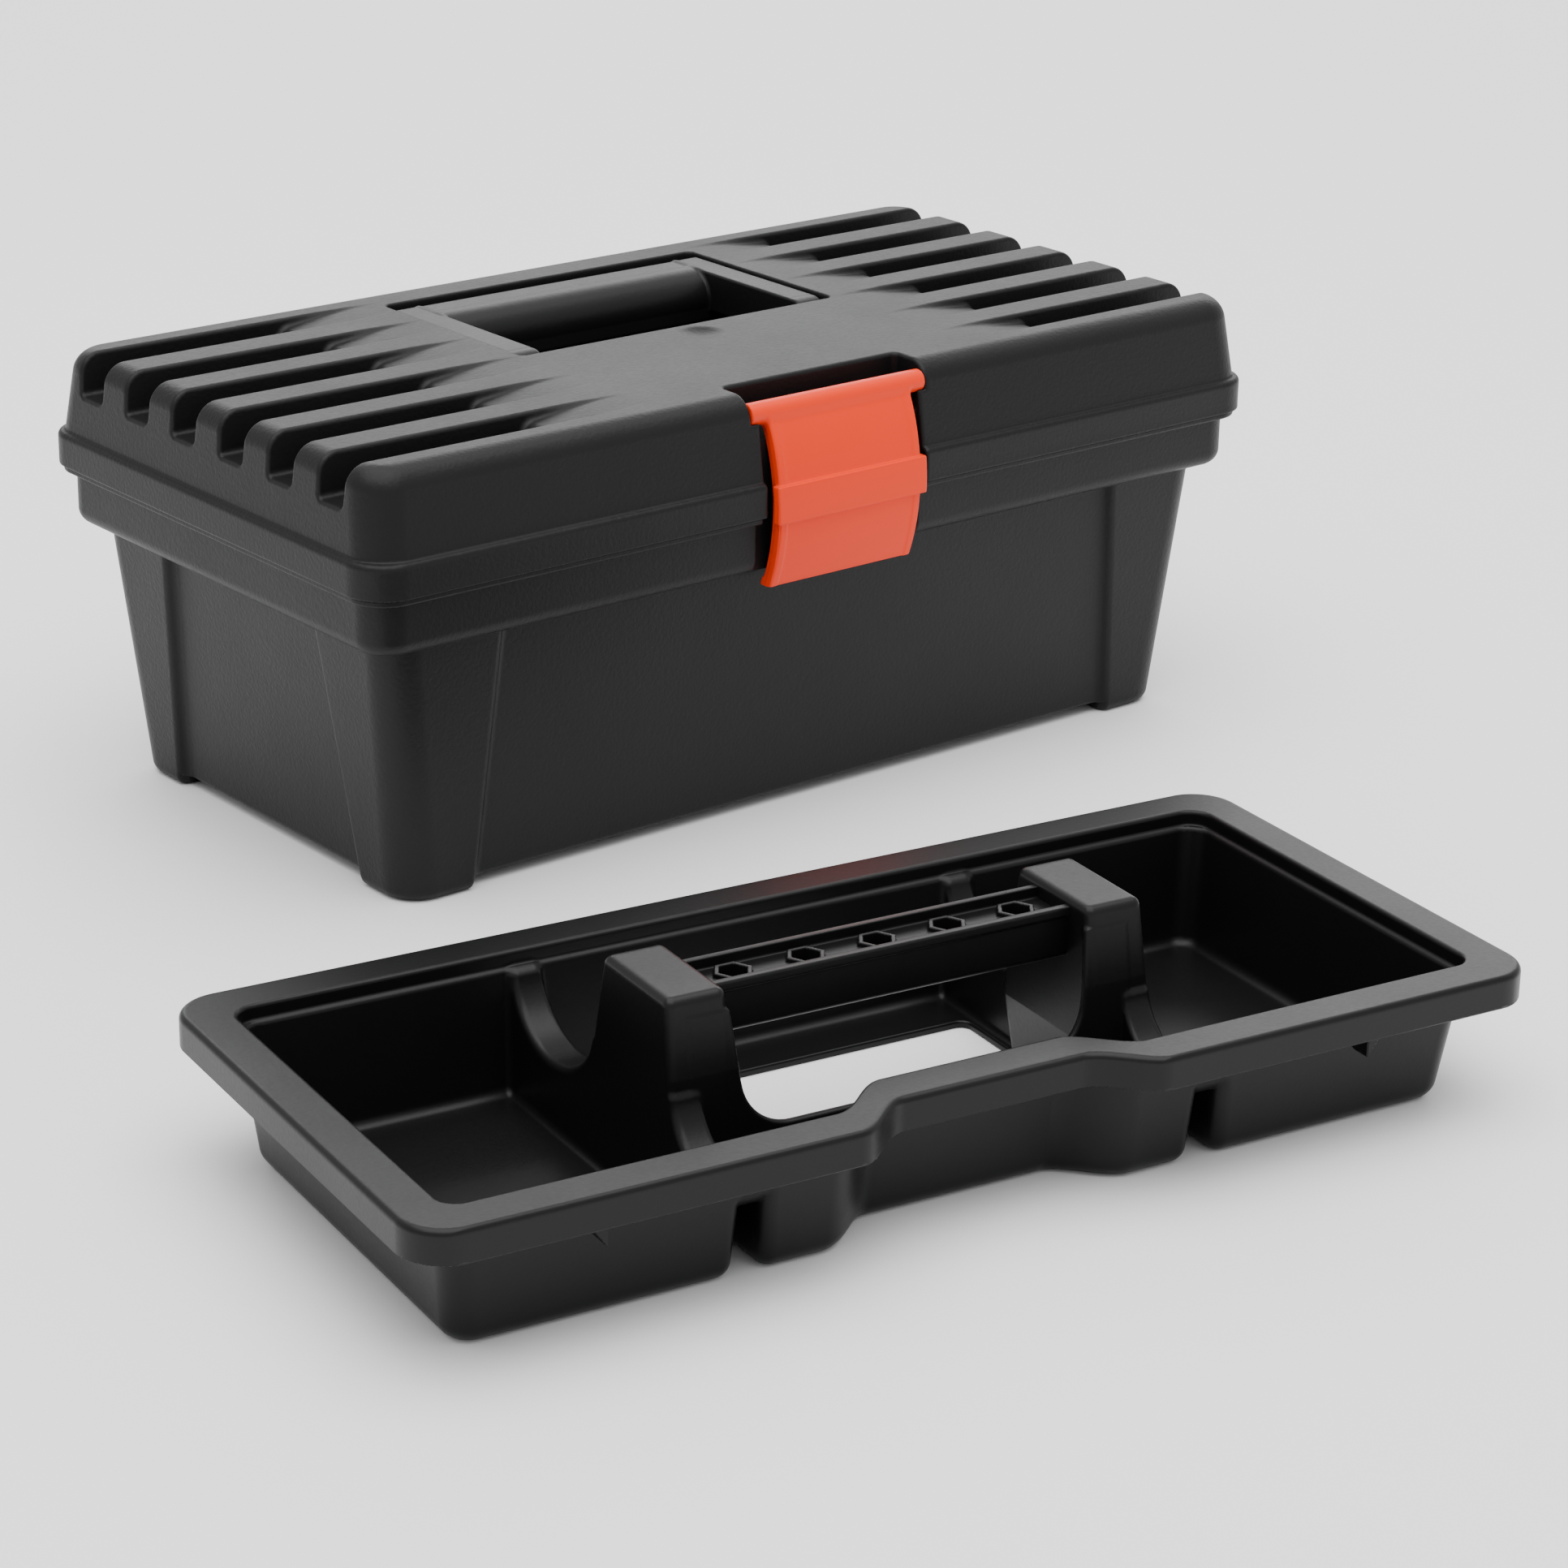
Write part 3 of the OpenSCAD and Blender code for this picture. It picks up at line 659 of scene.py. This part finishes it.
def steel(name):
    """Plain drawn wire."""
    mat = principled(name, (0.58, 0.58, 0.6), 0.32)
    tree = mat.node_tree
    shader = tree.nodes["Principled BSDF"]
    shader.inputs["Metallic"].default_value = 1
    place = tree.nodes.new("ShaderNodeTexCoord").outputs["Object"]
    tree.links.new(spread(tree, noise(tree, 700, 3, place), 0.24, 0.4), shader.inputs["Roughness"])
    return mat


def paint(obj, mat):
    obj.data.materials.clear()
    obj.data.materials.append(mat)


paint(tub_piece, box_plastic)
paint(lid_piece, box_plastic)
paint(tray_piece, tray_plastic)
paint(rail_piece, tray_plastic)
paint(latch_piece, latch_plastic)
paint(handle_piece, handle_plastic)
pin_steel = steel("pin_steel")
for name in ("hinge_pin_left", "hinge_pin_right"):
    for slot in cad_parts[name].material_slots:
        slot.material = pin_steel

# ---------------------------------------------------------------- what rides on what

TRAY_NODES = ["tray_rim", "tray_left_well", "tray_right_well", "tray_centre", "tray_posts"]

for piece, body, slot_name, nodes in (
    (tub_piece, "tub", "box_plastic", ["tub"]),
    (lid_piece, "lid", "box_plastic", ["lid"]),
    (latch_piece, "latch", "latch_plastic", ["latch"]),
    (handle_piece, "handle", "handle_plastic", ["handle"]),
    (tray_piece, "tray", "tray_plastic", TRAY_NODES),
    (rail_piece, "tray", "tray_plastic", ["tray_bit_rail"]),
):
    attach(piece, body)
    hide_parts(*nodes)

# ---------------------------------------------------------------- floor, light and camera


def floor(half):
    mesh = bpy.data.meshes.new("floor")
    corners = [(-half, -half, 0), (half, -half, 0), (half, half, 0), (-half, half, 0)]
    mesh.from_pydata(corners, [], [(0, 1, 2, 3)])
    obj = bpy.data.objects.new("floor", mesh)
    bpy.context.scene.collection.objects.link(obj)
    paint(obj, principled("floor", (0.95, 0.95, 0.95), 0.9, 0.1))


def area_light(name, place, target, size, power):
    data = bpy.data.lights.new(name, "AREA")
    data.shape = "RECTANGLE"
    data.size, data.size_y = size
    data.energy = power
    obj = bpy.data.objects.new(name, data)
    bpy.context.scene.collection.objects.link(obj)
    obj.location = place
    obj.rotation_euler = (Vector(target) - Vector(place)).to_track_quat("-Z", "Y").to_euler()


def camera():
    data = bpy.data.cameras.new("camera")
    data.sensor_width = 36
    data.lens = 96.0
    data.clip_end = 50
    obj = bpy.data.objects.new("camera", data)
    bpy.context.scene.collection.objects.link(obj)
    azimuth, elevation, roll = math.radians(-39.66), math.radians(21.09), math.radians(1.08)
    obj.location = (-0.72642, -0.9334, 0.43945)
    back = Vector(
        (
            math.sin(azimuth) * math.cos(elevation),
            -math.cos(azimuth) * math.cos(elevation),
            math.sin(elevation),
        )
    )
    right = Vector((0, 0, 1)).cross(back).normalized()
    up = back.cross(right)
    rolled_right = right * math.cos(roll) + up * math.sin(roll)
    rolled_up = up * math.cos(roll) - right * math.sin(roll)
    obj.rotation_euler = Matrix((rolled_right, rolled_up, back)).transposed().to_euler()
    bpy.context.scene.camera = obj


floor(6.0)
area_light("behind_soft", (1.3, 1.5, 1.1), (0, -0.1, 0.05), (2.6, 1.2), 24)
area_light("overhead", (-0.2, -0.3, 1.9), (0, -0.1, 0.0), (2.4, 2.4), 62)
camera()

world = bpy.data.worlds.new("world")
world.use_nodes = True
world.node_tree.nodes["Background"].inputs["Color"].default_value = (1, 1, 1, 1)
world.node_tree.nodes["Background"].inputs["Strength"].default_value = 0.9
bpy.context.scene.world = world
